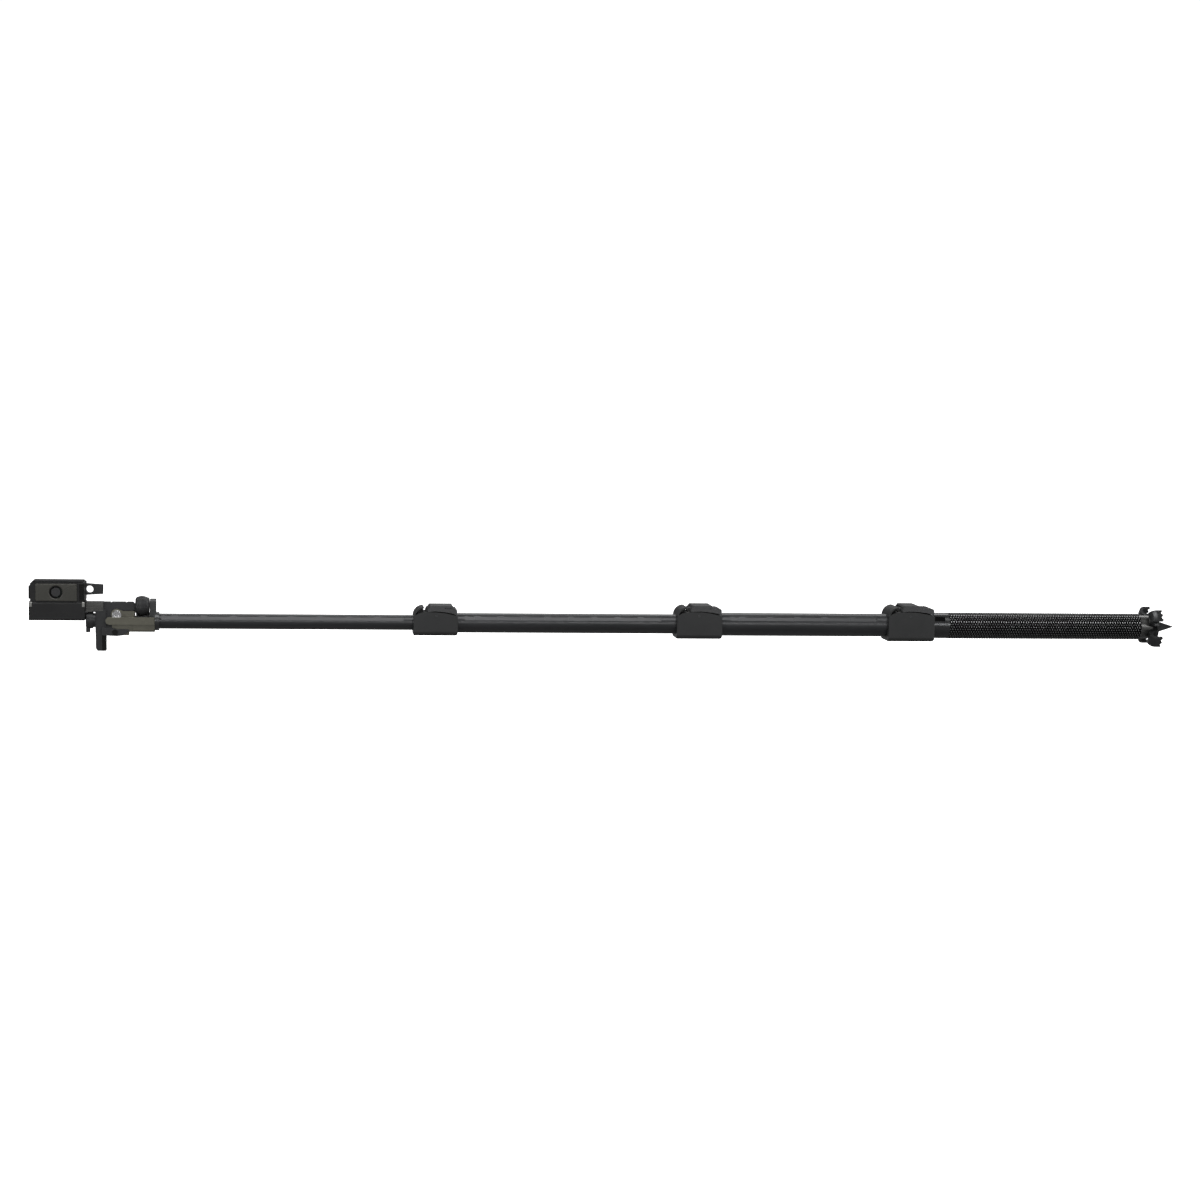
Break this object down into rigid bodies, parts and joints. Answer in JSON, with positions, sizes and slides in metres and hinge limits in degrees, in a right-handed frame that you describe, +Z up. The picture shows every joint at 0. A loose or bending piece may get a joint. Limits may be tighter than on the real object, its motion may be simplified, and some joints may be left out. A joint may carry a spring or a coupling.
{
  "type": "telescopic camera pole",
  "caption": "Telescopic camera pole with cam clamps, knurled grip, clawed spiked butt and a tilting head that carries a small camera pod.",
  "frame": {"origin": "centre of the object's box at the surface it lies on, directly below the pole's axis", "axes": "+X along the pole towards the spiked butt, +Z up, the front of the camera pod faces -Y"},
  "size_m": [1.2708, 0.0534, 0.075],
  "materials": {
    "anodised_tube": "fine satin black anodising",
    "knurled_grip": "diamond knurl, black anodised",
    "clamp_body": "fine moulded texture, dark grey",
    "lever": "moulded, dark grey",
    "end_metal": "turned, dark satin",
    "crown_metal": "satin dark coat",
    "spike_metal": "dark satin steel",
    "pin_steel": "ground",
    "screw_chrome": "polished",
    "bush_plastic": "natural acetal",
    "olive_casting": "satin grey-olive coat",
    "head_casting": "fine matt dark grey coat",
    "pad_rubber": "matt",
    "spring_steel": "drawn wire",
    "pod_dark": "fine grain",
    "pod_olive": "brushed, olive grey",
    "clip_metal": "satin",
    "top_black": "matt black",
    "lens_glass": "coated",
    "board": "solder mask",
    "cell": "shrink sleeve"
  },
  "bodies": {
    "handle": {"handle_tube": "anodised_tube", "knurled_grip": "knurled_grip", "butt_plug": "end_metal", "end_cap": "end_metal", "claw_crown": "crown_metal", "spike": "spike_metal", "clamp_collar_three": "clamp_body", "lever_pin_three": "pin_steel", "pressure_pad_three": "bush_plastic", "collar_rivets_three": "spike_metal"},
    "section_two": {"section_two_tube": "anodised_tube", "guide_bush_two": "bush_plastic", "clamp_collar_two": "clamp_body", "lever_pin_two": "pin_steel", "pressure_pad_two": "bush_plastic", "collar_rivets_two": "spike_metal"},
    "section_three": {"section_three_tube": "anodised_tube", "guide_bush_three": "bush_plastic", "clamp_collar_one": "clamp_body", "lever_pin_one": "pin_steel", "pressure_pad_one": "bush_plastic", "collar_rivets_one": "spike_metal"},
    "section_four": {"section_four_tube": "anodised_tube", "guide_bush_four": "bush_plastic", "tip_plug": "spike_metal", "socket_screw": "pin_steel", "tip_socket": "olive_casting", "tilt_bolt": "screw_chrome", "tilt_nut": "pin_steel", "latch_pin": "pad_rubber"},
    "lever_one": {"lock_lever_one": "lever"},
    "lever_two": {"lock_lever_two": "lever"},
    "lever_three": {"lock_lever_three": "lever"},
    "head": {"head_bracket": "head_casting", "foot_pad": "pad_rubber", "rail_clamp": "end_metal", "clamp_screws": "pin_steel", "pod_base": "pod_dark", "pod_front_shell": "pod_dark", "pod_rear_shell": "pod_dark", "face_plate": "pod_olive", "side_grip": "pad_rubber", "top_plate": "top_black", "corner_clips": "clip_metal", "button_ring": "pad_rubber", "lens_ring": "pod_dark", "lens_glass": "lens_glass", "port_pin": "pin_steel", "tether_tab": "head_casting", "circuit_board": "board", "battery": "cell", "plunger_barrel": "head_casting", "plunger_spring": "spring_steel"},
    "knob": {"thumb_knob": "head_casting", "knob_screw": "pin_steel"},
    "latch": {"latch_lever": "head_casting"},
    "plunger": {"release_plunger": "head_casting"},
    "button": {"shutter_button": "head_casting"},
    "port": {"port_cover": "pod_dark"}
  },
  "joints": [
    {"name": "section_two_slide", "type": "slide", "parent": "handle", "child": "section_two", "axis": [1, 0, 0], "range_m": [0, 0.185]},
    {"name": "section_three_slide", "type": "slide", "parent": "section_two", "child": "section_three", "axis": [1, 0, 0], "range_m": [0, 0.235]},
    {"name": "section_four_slide", "type": "slide", "parent": "section_three", "child": "section_four", "axis": [1, 0, 0], "range_m": [0, 0.268]},
    {"name": "lever_three_flip", "type": "hinge", "parent": "handle", "child": "lever_three", "pos_m": [0.31594, 0, 0.0501], "axis": [0, -1, 0], "range_deg": [0, 85]},
    {"name": "lever_two_flip", "type": "hinge", "parent": "section_two", "child": "lever_two", "pos_m": [0.07782, 0, 0.04855], "axis": [0, -1, 0], "range_deg": [0, 85]},
    {"name": "lever_one_flip", "type": "hinge", "parent": "section_three", "child": "lever_one", "pos_m": [-0.21094, 0, 0.04655], "axis": [0, -1, 0], "range_deg": [0, 85]},
    {"name": "head_tilt", "type": "hinge", "parent": "section_four", "child": "head", "pos_m": [-0.54344, 0, 0.0389], "axis": [0, -1, 0], "range_deg": [0, 60]},
    {"name": "knob_turn", "type": "hinge", "parent": "head", "child": "knob", "pos_m": [-0.51774, 0, 0.0484], "axis": [1, 0, 0], "continuous": true},
    {"name": "latch_press", "type": "hinge", "parent": "section_four", "child": "latch", "pos_m": [-0.54504, -0.01, 0.0206], "axis": [0, -1, 0], "range_deg": [0, 12], "stiffness_Nm_per_rad": 0.3},
    {"name": "plunger_press", "type": "slide", "parent": "head", "child": "plunger", "axis": [1, 0, 0], "range_m": [0, 0.0022], "stiffness_N_per_m": 900},
    {"name": "button_press", "type": "slide", "parent": "head", "child": "button", "axis": [0, 1, 0], "range_m": [0, 0.0008], "stiffness_N_per_m": 800},
    {"name": "port_swing", "type": "hinge", "parent": "head", "child": "port", "pos_m": [-0.63444, 0.0064, 0.0618], "axis": [0, 0, -1], "range_deg": [0, 100]}
  ]
}
